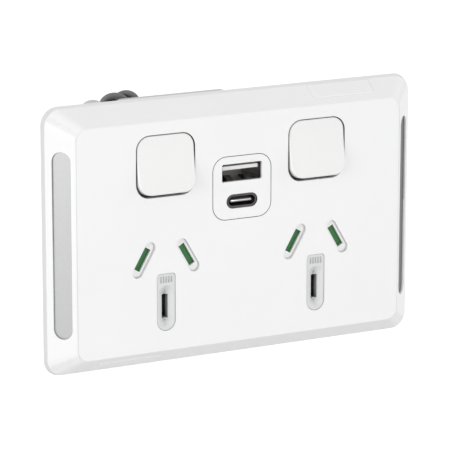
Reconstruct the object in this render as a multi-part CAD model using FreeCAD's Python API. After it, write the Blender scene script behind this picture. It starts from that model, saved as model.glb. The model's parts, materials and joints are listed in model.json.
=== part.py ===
import FreeCAD
import Part
import math
import os

# Double switched wall socket with a USB module in the middle.
# The origin is the centre of the plate on the wall plane. X points right,
# Y points into the wall and Z points up. All sizes are in millimetres.

V = FreeCAD.Vector
SIDES = {"left": -1, "right": 1}

# Cover plate
plate_width = 116.0
plate_height = 76.8
plate_depth = 8.0
plate_corner = 5.0
side_inset = 7.1
end_inset = 5.45
rim_wall = 1.6
rim_draft = 0.5
front_corner = 3.4
front_edge_round = 0.4
cover_wall = 1.8
post_half = 2.0
post_root = 0.2
post_edge = 8.5

# Side strips in the bevels
strip_width = 5.5
strip_length = 53.2
strip_from_rim = 2.0
strip_pocket = 1.15
strip_thickness = 0.55
strip_gap = 0.05

# Fits
fit_gap = 0.1
seam_gap = 0.2
hand_gap = 0.3
running_gap = 0.05
front_gap = 0.2

# Sockets
socket_x = 23.8
live_from_edge = 32.45
live_offset = 6.86
earth_drop = 14.27
blade_tilt = 30.0
slot_length = 6.9
slot_width = 1.9
guide_length = 11.1
guide_width = 3.4
guide_depth = 1.0

# Earth inserts
earth_width = 5.55
earth_top_drop = 4.65
earth_length = 16.45
earth_corner = 0.9
earth_flange = 1.0
earth_flange_depth = 1.0
scoop_half = 2.35
scoop_depth = 1.6
scoop_over = 0.5

# Rockers
rocker_from_edge = 17.9
rocker_hole_width = 18.2
rocker_hole_height = 17.9
rocker_hole_corner = 4.1
rocker_width = 17.6
rocker_height = 16.7
rocker_reach = 4.2
rocker_pivot_depth = 3.0
rocker_tilt = 8.0
rocker_cap_depth = 3.0
rocker_corner = 3.8
rocker_edge = 0.3
rocker_dish = 0.7
rocker_dish_radius = 52.0
rocker_skirt = 12.0
rocker_skirt_depth = 1.6
rocker_pin_radius = 1.0
rocker_pin_length = 1.7
rocker_web = 1.4
rocker_well_gap = 0.25
rocker_well_floor = -1.8

# Plungers and see-saw arms
plunger_radius = 1.5
plunger_reach = 9.0
plunger_length = 7.0
plunger_boss_wall = 1.2
plunger_boss_reach = 4.5
plunger_bore_top = -1.7
plunger_tip = 1.0
plunger_tip_radius = 0.6
spring_wire = 0.2
spring_radius = 1.05
spring_turns = 4
spring_runs = 8
arm_width = 5.0
arm_half_length = 6.8
arm_thickness = 0.8
arm_end_thickness = 0.48
arm_tilt = 6.0
arm_gap = 0.05
arm_ridge_radius = 0.8
arm_ridge_drop = 0.5
arm_contact = 5.6
arm_contact_height = 0.8
contact_radius = 1.2
cradle_width = 5.6
cradle_height = 3.4
cradle_clear = 0.3
switch_well_gap = 1.2

# Shutters
shutter_travel = 2.6
shutter_thickness = 1.5
shutter_rib = 0.75
shutter_window_margin = 0.1
shutter_height = 8.8
shutter_end = 10.2
leaf_room = 1.6
leaf_thickness = 0.3
leaf_width = 1.2
leaf_height = 8.0

# Mounting frame
frame_side_margin = 4.5
frame_end_margin = 4.4
frame_thickness = 2.0
frame_corner = 3.0
mount_from_housing = 4.5
mount_hole_radius = 2.3

# Housings
housing_side_margin = 6.84
housing_end_margin = 8.1
housing_corner = 2.5
housing_wall = 1.6
shoulder_side_step = 1.5
shoulder_end_step = 3.4
front_housing_back = 8.0
side_depth = 28.0
module_depth = 38.0
module_width = 36.8

# Contact strips
strip_metal = 0.8
strip_broad = 3.0
leaf_metal = 0.5
jaw_length = 6.2
jaw_top = -2.0
jaw_mouth = 1.5
jaw_pinch = 0.75
jaw_pinch_y = 1.0
jaw_foot = 2.0
jaw_foot_y = 5.5
throat_top = -4.0
throat_bottom = -2.8
pocket_width = 5.6
pocket_margin = 0.4
neutral_lane_drop = 7.55
neutral_branch_margin = 8.5

# Terminals
terminal_outward = 1.6
terminal_end_margin = 4.1
terminal_half = 2.5
tower_wall = 1.06
wire_bore_radius = 1.7
wire_bore_length = 10.0
terminal_inset = 1.5
terminal_screw_radius = 1.2
terminal_screw_stand = 0.8
terminal_screw_from_mouth = 5.0
driver_hole_radius = 1.6
wire_mouth_radius = 1.9
tower_lip = 1.2

# Screw bosses
boss_side_margin = 3.2
boss_end_margin = 3.4
boss_size = 5.6

# USB module
usb_below_rocker = 8.6
usb_width = 18.2
usb_height = 18.0
usb_corner = 4.0
usb_flange = 1.0
usb_flange_depth = 1.0
usb_a_rise = 4.35
usb_a_width = 12.5
usb_a_height = 5.1
usb_c_drop = 3.95
usb_c_width = 8.4
usb_c_height = 2.7
usb_a_sheet = 0.3
usb_a_corner = 0
usb_c_sheet = 0.4
usb_a_lip = 0.8
usb_a_lip_corner = 0.5
usb_c_front = 0.15
usb_c_recess = 0.3
usb_c_recess_depth = 0.6
usb_a_tongue_width = 11.1
usb_a_tongue_height = 1.0
usb_c_tongue_width = 6.6
usb_c_tongue_height = 0.75
usb_a_tongue_rise = 1.15
usb_a_tongue_recess = 0.5
usb_c_tongue_recess = 0.6
tongue_base = 3.0
board_thickness = 1.6
board_width = 30.0
board_drop = 12.9
board_rise = 11.9
transformer_size = (15.0, 14.0, 13.0)
transformer_place = (5.5, 1.6)
bobbin_width = 9.0
core_height = 7.7
core_inset = 2.34
mains_can_radius = 4.0
mains_can_length = 14.0
mains_can_place = (-9.0, 5.6)
output_can_radius = 3.15
output_can_length = 9.0
output_can_place = (-9.5, -4.4)
chip_size = 5.0
chip_thickness = 1.3
chip_place = (2.5, -9.4)

# Leads
lead_radius = 1.05
lead_spread = 1.25
lead_bend = 1.8
lead_room = 0.35
grommet_wall = 0.9
grommet_stand = 1.0
lead_back = 42.0
lead_exit_x = -9.0
lead_exit_z = 21.2
lead_exit_depth = 34.5
lead_entry_x = -25.0
lead_entry_z = 13.2
lead_entry_depth = 25.5
lead_crest = [(-12.5, 31.3), (-19.5, 30.3)]

# Planes and places that the pieces share
front_y = -plate_depth
cover_back_y = front_y + cover_wall
housing_front_y = cover_back_y + front_gap
shutter_y = housing_front_y
pivot_y = front_y + rocker_pivot_depth
strip_back = front_housing_back + strip_metal
arm_front = arm_ridge_drop + arm_thickness
arm_y = pivot_y + plunger_reach + arm_front + arm_gap
live_z = live_from_edge - plate_height / 2
earth_z = live_z - earth_drop
earth_top = live_z - earth_top_drop
earth_bottom = earth_top - earth_length
neutral_lane_z = live_z - neutral_lane_drop
rocker_z = plate_height / 2 - rocker_from_edge
active_lane_z = rocker_z + arm_contact
usb_z = rocker_z - usb_below_rocker
usb_a_z = usb_z + usb_a_rise
usb_c_z = usb_z - usb_c_drop
frame_width = plate_width - 2 * frame_side_margin
frame_height = plate_height - 2 * frame_end_margin
housing_width = 2 * (socket_x + live_offset + housing_side_margin)
housing_height = plate_height - 2 * housing_end_margin
shoulder_width = housing_width + 2 * shoulder_side_step
shoulder_height = housing_height + 2 * shoulder_end_step
mount_x = housing_width / 2 + mount_from_housing
neutral_branch_x = housing_width / 2 - neutral_branch_margin
terminal_x = socket_x + terminal_outward
terminal_low_z = terminal_end_margin - housing_height / 2


def box(x0, x1, y0, y1, z0, z1):
    return Part.makeBox(x1 - x0, y1 - y0, z1 - z0, V(x0, y0, z0))


def rod(radius, start, end):
    axis = end.sub(start)
    return Part.makeCylinder(radius, axis.Length, start, axis)


def outline(width, height, radius, y, cx=0.0, cz=0.0):
    """A rectangle in a plane parallel to the wall, rounded where a radius is given."""
    quarters = [(1, 1), (-1, 1), (-1, -1), (1, -1)]
    if not radius:
        corners = [V(cx + sx * width / 2, y, cz + sz * height / 2) for sx, sz in quarters]
        return Part.makePolygon(corners + corners[:1])
    edges = []
    arcs = []
    for quarter, (sx, sz) in enumerate(quarters):
        ox = cx + sx * (width / 2 - radius)
        oz = cz + sz * (height / 2 - radius)
        points = []
        for share in (0.0, 0.5, 1.0):
            angle = (quarter + share) * math.pi / 2
            points.append(V(ox + radius * math.cos(angle), y, oz + radius * math.sin(angle)))
        arcs.append(points)
    for number, points in enumerate(arcs):
        edges.append(Part.Arc(*points).toShape())
        following = arcs[(number + 1) % 4][0]
        if points[2].distanceToPoint(following) > 1e-6:
            edges.append(Part.LineSegment(points[2], following).toShape())
    return Part.Wire(edges)


def slab(width, height, radius, y0, y1, cx=0.0, cz=0.0):
    """A rounded block between two depths."""
    face = Part.Face(outline(width, height, radius, y0, cx, cz))
    return face.extrude(V(0, y1 - y0, 0))


def tilted_slab(width, height, radius, y0, y1, cx, cz, angle):
    piece = slab(width, height, radius, y0, y1, cx, cz)
    piece.rotate(V(cx, 0, cz), V(0, 1, 0), angle)
    return piece


def profile_yz(points, x0, x1):
    """A prism along X from its outline in Y and Z."""
    corners = [V(x0, y, z) for y, z in points]
    face = Part.Face(Part.makePolygon(corners + corners[:1]))
    return face.extrude(V(x1 - x0, 0, 0))


def profile_xy(points, z0, z1):
    """A prism along Z from its outline in X and Y."""
    corners = [V(x, y, z0) for x, y in points]
    face = Part.Face(Part.makePolygon(corners + corners[:1]))
    return face.extrude(V(0, 0, z1 - z0))


def fuse(pieces):
    whole = pieces[0]
    for piece in pieces[1:]:
        whole = whole.fuse(piece)
    return whole.removeSplitter()


def cut(whole, pieces):
    for piece in pieces:
        whole = whole.cut(piece)
    return whole


def contact_places():
    """Live and neutral contact centres as (side, role, x, tilt)."""
    places = []
    for side, sign in SIDES.items():
        places.append((side, "active", sign * socket_x - live_offset, blade_tilt))
        places.append((side, "neutral", sign * socket_x + live_offset, -blade_tilt))
    return places


# Cover plate
def bevel_inset(inset, depth):
    """How far the outer face lies inside the rim at a depth in front of the wall."""
    return rim_draft + (inset - rim_draft) * (depth - rim_wall) / (plate_depth - rim_wall)


def wall_shift(inset):
    """The cover wall measured level, where the wall is a bevel."""
    rise = plate_depth - rim_wall
    slope = math.hypot(inset - rim_draft, rise)
    return cover_wall * slope / rise


def cover_outside():
    sections = [
        outline(plate_width, plate_height, plate_corner, 0),
        outline(plate_width - 2 * rim_draft, plate_height - 2 * rim_draft,
                plate_corner - rim_draft / 2, -rim_wall),
        outline(plate_width - 2 * side_inset, plate_height - 2 * end_inset, front_corner, front_y),
    ]
    body = Part.makeLoft(sections, True, True)
    edges = [e for e in body.Edges if max(abs(v.Y - front_y) for v in e.Vertexes) < 1e-6]
    return body.makeFillet(front_edge_round, edges)


def cover_inside():
    depths = [rim_wall, plate_depth - cover_wall]
    sections = [outline(plate_width - 2 * cover_wall, plate_height - 2 * cover_wall, 0, 0)]
    for depth in depths:
        width = plate_width - 2 * (bevel_inset(side_inset, depth) + wall_shift(side_inset))
        height = plate_height - 2 * (bevel_inset(end_inset, depth) + wall_shift(end_inset))
        sections.append(outline(width, height, 0, -depth))
    return Part.makeLoft(sections, True, True)


def strip_on_bevel(sign, grow, outer, inner):
    """A pill-shaped slab on a side bevel, from outer to inner depth below its face."""
    run = side_inset - rim_draft
    rise = plate_depth - rim_wall
    slope = math.hypot(run, rise)
    along = V(-sign * run / slope, -rise / slope, 0)
    into = V(-sign * rise / slope, run / slope, 0)
    rim = V(sign * (plate_width / 2 - rim_draft), -rim_wall, 0)
    middle = rim.add(along * (strip_from_rim + strip_width / 2))
    width = strip_width + 2 * grow
    pill = slab(width, strip_length + 2 * grow, width / 2, outer, inner)
    turn = FreeCAD.Rotation(along * -sign, into, V(0, 0, 1), "XYZ")
    pill.Placement = FreeCAD.Placement(middle, turn)
    return pill


def earth_face(grow, y0, y1, side_x):
    """The earth insert's outline: small top corners and a half round bottom."""
    width = earth_width + 2 * grow
    radius = width / 2
    top = slab(width, 2 * radius, earth_corner + grow, y0, y1, side_x, earth_top + grow - radius)
    bottom_z = earth_bottom - grow + radius
    middle = box(side_x - radius, side_x + radius, y0, y1, bottom_z, earth_top + grow - radius)
    end = rod(radius, V(side_x, y0, bottom_z), V(side_x, y1, bottom_z))
    return fuse([top, middle, end])


def cover_posts():
    x = plate_width / 2 - side_inset - post_edge + cover_wall
    z = plate_height / 2 - end_inset - post_half - cover_wall
    pieces = []
    for sx in (-1, 1):
        for sz in (-1, 1):
            pieces.append(slab(2 * post_half, 2 * post_half, 0, cover_back_y - post_root,
                               -frame_thickness, sx * x, sz * z))
    return pieces


def cover_plate():
    shell = cover_outside().cut(cover_inside())
    shell = fuse([shell] + cover_posts())
    deep = cover_back_y + 1.0
    ahead = front_y - 1.0
    holes = [slab(usb_width + 2 * seam_gap, usb_height + 2 * seam_gap, usb_corner + seam_gap,
                  ahead, deep, 0, usb_z)]
    for sign in SIDES.values():
        x = sign * socket_x
        holes.append(slab(rocker_hole_width, rocker_hole_height, rocker_hole_corner,
                          ahead, deep, x, rocker_z))
        holes.append(earth_face(fit_gap, ahead, deep, x))
        holes.append(strip_on_bevel(sign, strip_gap, -1.0, strip_pocket))
    for side, role, x, tilt in contact_places():
        guide_floor = front_y + guide_depth
        holes.append(tilted_slab(guide_width, guide_length, guide_width / 2,
                                 ahead, guide_floor, x, live_z, tilt))
        holes.append(tilted_slab(slot_width, slot_length, 0, ahead, deep, x, live_z, tilt))
    return cut(shell, holes)


def side_strip(sign):
    return strip_on_bevel(sign, 0.0, strip_pocket - strip_thickness, strip_pocket)


# Earth inserts
def earth_insert(sign):
    x = sign * socket_x
    body = earth_face(0.0, front_y + fit_gap, cover_back_y, x)
    body = fuse([body, earth_flange_face(earth_flange, cover_back_y, cover_back_y + earth_flange_depth, x)])
    slot = slab(slot_width, slot_length, 0, front_y, 0, x, earth_z)
    face = front_y + fit_gap
    low = earth_z - slot_length / 2 - scoop_over
    high = earth_z + slot_length / 2 + scoop_over
    wedge = [(x - scoop_half, face), (x + scoop_half, face), (x, face + scoop_depth)]
    groove = profile_xy(wedge, low, high)
    ends = [Part.makeCone(scoop_half, 0, scoop_depth, V(x, face, z), V(0, 1, 0)) for z in (low, high)]
    return cut(body, [slot, groove] + ends)


# Rockers
def at_rest(shape, sign):
    """Set a piece drawn about its pivot on the rocker's axis, switched off."""
    shape.rotate(V(0, 0, 0), V(1, 0, 0), -rocker_tilt)
    shape.translate(V(sign * socket_x, pivot_y, rocker_z))
    return shape


def rocker_cap():
    """The rocker's face, dished from top to bottom, with its edge chamfered."""
    back = -rocker_reach + rocker_cap_depth
    cap = slab(rocker_width, rocker_height, rocker_corner, -rocker_reach, back)
    centre_y = -rocker_reach + rocker_dish - rocker_dish_radius
    dish = rod(rocker_dish_radius, V(-rocker_width, centre_y, 0), V(rocker_width, centre_y, 0))
    cap = cap.cut(dish)
    front = [edge for edge in cap.Edges if max(v.Y for v in edge.Vertexes) < -rocker_reach + rocker_dish]
    return cap.makeChamfer(rocker_edge, front)


def rocker(sign):
    back = -rocker_reach + rocker_cap_depth
    half = rocker_width / 2
    skirt = box(-half, half, back, rocker_skirt_depth, -rocker_skirt / 2, rocker_skirt / 2)
    inner = half - rocker_web
    inner_z = rocker_skirt / 2 - rocker_web
    hollow = box(-inner, inner, back - rocker_web, rocker_skirt_depth, -inner_z, inner_z)
    boss_size = 2 * (plunger_radius + running_gap + plunger_boss_wall)
    boss = slab(boss_size, boss_size, 0, back - rocker_web, plunger_boss_reach)
    bore = rod(plunger_radius + running_gap, V(0, plunger_bore_top, 0), V(0, plunger_boss_reach, 0))
    body = fuse([rocker_cap(), skirt]).cut(hollow)
    pins = []
    for end in (-1, 1):
        inside = V(end * (half - rocker_web), 0, 0)
        pins.append(rod(rocker_pin_radius, inside, V(end * (half + rocker_pin_length), 0, 0)))
    return at_rest(fuse([body, boss] + pins).cut(bore), sign)


def plunger(sign):
    shoulder = V(0, plunger_reach - plunger_tip, 0)
    stem = rod(plunger_radius, V(0, plunger_reach - plunger_length, 0), shoulder)
    tip = Part.makeCone(plunger_radius, plunger_tip_radius, plunger_tip, shoulder, V(0, 1, 0))
    return at_rest(fuse([stem, tip]), sign)


def plunger_spring(sign):
    """A coil of square wire, bent in short straight runs."""
    length = plunger_reach - plunger_length - plunger_bore_top - 2 * spring_wire
    start = plunger_bore_top + spring_wire
    count = spring_turns * spring_runs
    points = []
    for number in range(count + 1):
        angle = 2 * math.pi * number / spring_runs
        y = start + length * number / count
        points.append(V(spring_radius * math.cos(angle), y, spring_radius * math.sin(angle)))
    half = spring_wire
    corners = []
    for out, along in ((-half, -half), (half, -half), (half, half), (-half, half), (-half, -half)):
        corners.append(V(spring_radius + out, start + along, 0))
    coil = Part.makePolygon(points).makePipeShell([Part.makePolygon(corners)], True, False, 1)
    return at_rest(coil, sign)


# See-saw contact arms
def switch_arm(sign):
    half = arm_width / 2
    back = -arm_ridge_drop
    strip = profile_yz([
        (back, -arm_half_length),
        (back, arm_half_length),
        (back - arm_end_thickness, arm_half_length),
        (-arm_front, arm_half_length - arm_thickness),
        (-arm_front, -arm_half_length + arm_thickness),
        (back - arm_end_thickness, -arm_half_length),
    ], -half, half)
    ridge = rod(arm_ridge_radius, V(-half, 0, 0), V(half, 0, 0))
    rivet = rod(contact_radius, V(0, back, arm_contact), V(0, back + arm_contact_height, arm_contact))
    arm = fuse([strip, ridge, rivet])
    arm.rotate(V(0, 0, 0), V(1, 0, 0), arm_tilt)
    arm.translate(V(sign * socket_x, arm_y, rocker_z))
    return arm


def arm_cradle(x):
    top = arm_y + cradle_clear
    block = box(x - cradle_width / 2, x + cradle_width / 2, top, front_housing_back,
                rocker_z - cradle_height / 2, rocker_z + cradle_height / 2)
    groove = rod(arm_ridge_radius + running_gap, V(x - cradle_width, arm_y, rocker_z),
                 V(x + cradle_width, arm_y, rocker_z))
    return block.cut(groove)


def fixed_contact(x):
    travel = (arm_contact + contact_radius) * math.sin(math.radians(arm_tilt))
    top = arm_y + arm_contact_height - arm_ridge_drop + travel + arm_gap
    return rod(contact_radius, V(x, top, active_lane_z), V(x, front_housing_back, active_lane_z))


# Shutters
def shutter_reach():
    """How far the shutter reaches outward from the middle of its socket."""
    tilt = math.radians(blade_tilt)
    half = slot_length / 2 * math.sin(tilt) + slot_width / 2 * math.cos(tilt)
    return live_offset + shutter_travel + half + shutter_rib


def shutter(sign):
    middle = sign * socket_x
    outer = middle + sign * shutter_reach()
    inner = middle - sign * shutter_end
    plate = box(min(outer, inner), max(outer, inner), shutter_y, shutter_y + shutter_thickness,
                live_z - shutter_height / 2, live_z + shutter_height / 2)
    windows = []
    for side, role, x, tilt in contact_places():
        if SIDES[side] == sign:
            width = slot_width + 2 * shutter_window_margin
            height = slot_length + 2 * shutter_window_margin
            windows.append(tilted_slab(width, height, 0, shutter_y - 1, shutter_y + shutter_thickness + 1,
                                       x + sign * shutter_travel, live_z, tilt))
    return cut(plate, windows)


def shutter_channel(sign):
    middle = sign * socket_x
    outer = middle + sign * (shutter_reach() + fit_gap)
    inner = middle - sign * (shutter_end + shutter_travel + leaf_room)
    half = shutter_height / 2 + fit_gap
    return box(min(outer, inner), max(outer, inner), housing_front_y - 1, throat_top,
               live_z - half, live_z + half)


def shutter_spring(sign):
    """A bowed leaf between the shutter's inner end and the end of its channel."""
    inner = sign * (socket_x - shutter_end)
    room = shutter_travel + leaf_room - leaf_thickness
    front = shutter_y + fit_gap
    half = leaf_height / 2
    bow = [(room, -half), (room / 4, -half / 2), (0, 0), (room / 4, half / 2), (room, half)]
    corners = [V(inner - sign * bend, front, live_z + z) for bend, z in bow]
    corners += [V(inner - sign * (bend + leaf_thickness), front, live_z + z) for bend, z in reversed(bow)]
    return Part.Face(Part.makePolygon(corners + corners[:1])).extrude(V(0, leaf_width, 0))


# Contact strips
def jaw(x, z, tilt):
    """Two sprung leaves that grip a blade, on a foot in the plane of the strips."""
    points = [(jaw_mouth, jaw_top), (jaw_pinch, jaw_pinch_y), (jaw_foot, jaw_foot_y),
              (jaw_foot, strip_back)]
    pieces = [slab(2 * (jaw_foot + leaf_metal), jaw_length, 0, front_housing_back, strip_back, x, z)]
    for side in (-1, 1):
        inner = [V(x + side * u, y, z - jaw_length / 2) for u, y in points]
        outer = [V(x + side * (u + leaf_metal), y, z - jaw_length / 2) for u, y in reversed(points)]
        face = Part.Face(Part.makePolygon(inner + outer + inner[:1]))
        pieces.append(face.extrude(V(0, 0, jaw_length)))
    whole = fuse(pieces)
    whole.rotate(V(x, 0, z), V(0, 1, 0), tilt)
    return whole


def strip_run(x0, z0, x1, z1):
    """A flat strip between two points, upright or level."""
    half = strip_broad / 2
    return box(min(x0, x1) - half, max(x0, x1) + half, front_housing_back, strip_back,
               min(z0, z1) - half, max(z0, z1) + half)


def terminal(x, z):
    """A brass terminal block with its wire bore and the hole for its screw."""
    mouth = module_depth - terminal_inset
    block = slab(2 * terminal_half, 2 * terminal_half, 0, front_housing_back, mouth, x, z)
    bore = rod(wire_bore_radius, V(x, mouth - wire_bore_length, z), V(x, mouth, z))
    return block.cut(bore).cut(terminal_screw(x, z))


def terminal_screw(x, z):
    """The grub screw, which comes in from the side nearer the middle."""
    inward = -math.copysign(1.0, z)
    y = module_depth - terminal_inset - terminal_screw_from_mouth
    start = z + inward * wire_bore_radius
    end = z + inward * (terminal_half + terminal_screw_stand)
    return rod(terminal_screw_radius, V(x, y, start), V(x, y, end))


def terminal_places():
    return {
        "active": (-terminal_x, active_lane_z),
        "earth": (-terminal_x, terminal_low_z),
        "neutral": (terminal_x, terminal_low_z),
    }


def active_contact(sign):
    x = sign * socket_x - live_offset
    middle = sign * socket_x
    return fuse([
        jaw(x, live_z, blade_tilt),
        strip_run(x, live_z, x, rocker_z),
        strip_run(x, rocker_z, middle, rocker_z),
        arm_cradle(middle),
    ])


def active_bar():
    x, z = terminal_places()["active"]
    pieces = [strip_run(x, active_lane_z, socket_x, active_lane_z), terminal(x, z)]
    pieces += [fixed_contact(sign * socket_x) for sign in SIDES.values()]
    return fuse(pieces)


def neutral_bar():
    x, z = terminal_places()["neutral"]
    left = -socket_x + live_offset
    right = socket_x + live_offset
    pieces = [jaw(left, live_z, -blade_tilt), jaw(right, live_z, -blade_tilt)]
    pieces.append(strip_run(left, live_z, left, neutral_lane_z))
    pieces.append(strip_run(right, live_z, right, neutral_lane_z))
    pieces.append(strip_run(left, neutral_lane_z, right, neutral_lane_z))
    pieces.append(strip_run(neutral_branch_x, neutral_lane_z, neutral_branch_x, z))
    pieces.append(strip_run(neutral_branch_x, z, x, z))
    pieces.append(terminal(x, z))
    return fuse(pieces)


def earth_bar():
    x, z = terminal_places()["earth"]
    pieces = [jaw(sign * socket_x, earth_z, 0) for sign in SIDES.values()]
    pieces.append(strip_run(-socket_x, earth_z, socket_x, earth_z))
    pieces.append(strip_run(x, earth_z, x, z))
    pieces.append(terminal(x, z))
    return fuse(pieces)


# Mounting frame
def mount_places():
    return [(sign * mount_x, 0.0) for sign in SIDES.values()]


def mounting_frame():
    plate = slab(frame_width, frame_height, frame_corner, -frame_thickness, 0)
    opening = slab(housing_width + 2 * fit_gap, housing_height + 2 * fit_gap, 0, -plate_depth, 1)
    holes = [rod(mount_hole_radius, V(x, -plate_depth, z), V(x, 1, z)) for x, z in mount_places()]
    return cut(plate, [opening] + holes)


# Housings
def boss_places():
    x = housing_width / 2 - boss_side_margin
    z = housing_height / 2 - boss_end_margin
    return [(sx * x, sz * z) for sx in (-1, 1) for sz in (-1, 1)]


def rocker_well(sign):
    """The well that a rocker sits in, its pin notches and the room for its contact arm."""
    x = sign * socket_x
    half = rocker_width / 2 + rocker_well_gap
    half_z = rocker_hole_height / 2 + rocker_well_gap
    ahead = housing_front_y - 1
    well = box(x - half, x + half, ahead, rocker_well_floor, rocker_z - half_z, rocker_z + half_z)
    reach = rocker_width / 2 + rocker_pin_length + fit_gap
    radius = rocker_pin_radius + running_gap
    notch = box(x - reach, x + reach, ahead, pivot_y, rocker_z - radius, rocker_z + radius)
    seat = rod(radius, V(x - reach, pivot_y, rocker_z), V(x + reach, pivot_y, rocker_z))
    boss_half = plunger_radius + running_gap + plunger_boss_wall + hand_gap
    arm_half = arm_half_length + switch_well_gap
    room = box(x - boss_half, x + boss_half, rocker_well_floor - 1, front_housing_back,
               rocker_z - arm_half, rocker_z + arm_half)
    return [well, notch, seat, room]


def earth_flange_face(grow, y0, y1, x):
    """The insert's hidden flange, cut off level where the shutter slides above it."""
    whole = earth_face(grow, y0, y1, x)
    shutter_foot = live_z - shutter_height / 2 - fit_gap
    top = shutter_foot - hand_gap + grow - earth_flange
    return whole.cut(box(x - earth_width, x + earth_width, y0, y1, top, top + earth_length))


def contact_pockets():
    pockets = []
    height = jaw_length + 2 * pocket_margin
    throat_height = slot_length + 2 * fit_gap
    throat_width = slot_width + 2 * fit_gap
    for side, role, x, tilt in contact_places():
        pockets.append(tilted_slab(throat_width, throat_height, 0, throat_top - 1, throat_bottom + 1,
                                   x, live_z, tilt))
        pockets.append(tilted_slab(pocket_width, height, 0, throat_bottom, front_housing_back,
                                   x, live_z, tilt))
    for sign in SIDES.values():
        x = sign * socket_x
        flange_back = cover_back_y + earth_flange_depth
        pockets.append(earth_flange_face(earth_flange + fit_gap, housing_front_y - 1, flange_back, x))
        pockets.append(slab(throat_width, throat_height, 0, flange_back - 1, throat_bottom + 1, x, earth_z))
        pockets.append(slab(pocket_width, height, 0, throat_bottom, front_housing_back, x, earth_z))
    return pockets


def usb_pockets():
    spread = 2 * (usb_flange + fit_gap)
    flange = slab(usb_width + spread, usb_height + spread, 0, housing_front_y - 1,
                  cover_back_y + usb_flange_depth, 0, usb_z)
    return [
        flange,
        usb_a_block(fit_gap / 2, housing_front_y, front_housing_back),
        usb_c_block(fit_gap / 2, housing_front_y, front_housing_back),
    ]


def front_housing():
    front = slab(housing_width, housing_height, 0, housing_front_y, 0)
    shoulder = slab(shoulder_width, shoulder_height, housing_corner, 0, front_housing_back)
    holes = contact_pockets() + usb_pockets()
    for sign in SIDES.values():
        holes += rocker_well(sign)
        holes.append(shutter_channel(sign))
    return cut(fuse([front, shoulder]), holes)


def rear_shell(wall, corner, front):
    """The rear housing's outline, less a wall all round when one is given."""
    width = housing_width - 2 * wall
    height = housing_height - 2 * wall
    sides = slab(width, height, corner, front, side_depth - wall)
    middle = slab(module_width - 2 * wall, height, corner, front, module_depth - wall)
    return fuse([sides, middle])


def rear_housing():
    inside = rear_shell(housing_wall, 0, front_housing_back)
    shell = rear_shell(0, housing_corner, front_housing_back).cut(inside)
    tower_radius = math.sqrt(2) * (terminal_half + fit_gap) + tower_wall
    solids = []
    holes = []
    for x, z in terminal_places().values():
        solids.append(rod(tower_radius, V(x, side_depth - housing_wall, z), V(x, module_depth, z)))
        room = 2 * (terminal_half + fit_gap)
        holes.append(slab(room, room, 0, front_housing_back, module_depth - tower_lip, x, z))
        holes.append(rod(wire_mouth_radius, V(x, module_depth - 2 * tower_lip, z), V(x, module_depth, z)))
        y = module_depth - terminal_inset - terminal_screw_from_mouth
        holes.append(rod(driver_hole_radius, V(x, y, z), V(x, y, z - math.copysign(2 * terminal_half, z))))
    for x, z in boss_places():
        solids.append(slab(boss_size, boss_size, 0, front_housing_back, side_depth, x, z))
    wall_front = side_depth - housing_wall
    holes.append(rod(bundle_radius() + lead_room, V(lead_entry_x, wall_front, lead_entry_z),
                     V(lead_entry_x, side_depth, lead_entry_z)))
    holes.append(rod(bundle_radius() + lead_room + grommet_wall,
                     V(lead_exit_x, module_depth - housing_wall, lead_exit_z),
                     V(lead_exit_x, module_depth, lead_exit_z)))
    return cut(fuse([shell] + solids), holes)


# USB module
def usb_a_block(grow, y0, y1):
    width = usb_a_width + 2 * (usb_a_sheet + grow)
    height = usb_a_height + 2 * (usb_a_sheet + grow)
    return slab(width, height, usb_a_corner, y0, y1, 0, usb_a_z)


def usb_c_block(grow, y0, y1):
    width = usb_c_width + 2 * (usb_c_sheet + grow)
    height = usb_c_height + 2 * (usb_c_sheet + grow)
    return slab(width, height, height / 2, y0, y1, 0, usb_c_z)


def usb_bezel():
    flange_width = usb_width + 2 * usb_flange
    flange_height = usb_height + 2 * usb_flange
    body = slab(usb_width, usb_height, usb_corner, front_y, cover_back_y, 0, usb_z)
    flange = slab(flange_width, flange_height, 0, cover_back_y, cover_back_y + usb_flange_depth, 0, usb_z)
    lip = slab(usb_a_width + fit_gap, usb_a_height, usb_a_lip_corner,
               front_y - 1, front_y + usb_a_lip, 0, usb_a_z)
    return cut(fuse([body, flange]), [
        lip,
        usb_a_block(fit_gap / 2, front_y + usb_a_lip, 0),
        usb_c_block(fit_gap / 2, front_y - 1, 0),
        usb_c_block(usb_c_recess, front_y - 1, front_y + usb_c_recess_depth),
    ])


def usb_a_shell():
    front = front_y + usb_a_lip
    opening = usb_a_block(-usb_a_sheet, front, front_housing_back)
    return usb_a_block(0, front, front_housing_back).cut(opening)


def usb_c_shell():
    front = front_y + usb_c_front
    opening = usb_c_block(-usb_c_sheet, front, front_housing_back)
    return usb_c_block(0, front, front_housing_back).cut(opening)


def usb_a_tongue():
    front = front_y + usb_a_lip + usb_a_tongue_recess
    bar = slab(usb_a_tongue_width, usb_a_tongue_height, 0, front, front_housing_back, 0,
               usb_a_z + usb_a_tongue_rise)
    base = usb_a_block(-usb_a_sheet, front_housing_back - tongue_base, front_housing_back)
    return fuse([bar, base])


def usb_c_tongue():
    front = front_y + usb_c_front + usb_c_tongue_recess
    bar = slab(usb_c_tongue_width, usb_c_tongue_height, 0, front, front_housing_back,
               0, usb_c_z)
    base = usb_c_block(-usb_c_sheet, front_housing_back - tongue_base, front_housing_back)
    return fuse([bar, base])


def circuit_board():
    back = front_housing_back + board_thickness
    return box(-board_width / 2, board_width / 2, front_housing_back, back,
               usb_z - board_drop, usb_z + board_rise)


def transformer():
    y = front_housing_back + board_thickness
    width, height, depth = transformer_size
    x, z = transformer_place
    bobbin = slab(bobbin_width, height, 0, y, y + depth, x, usb_z + z)
    core = slab(width, core_height, 0, y + core_inset, y + depth - core_inset, x, usb_z + z)
    return fuse([bobbin, core])


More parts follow.
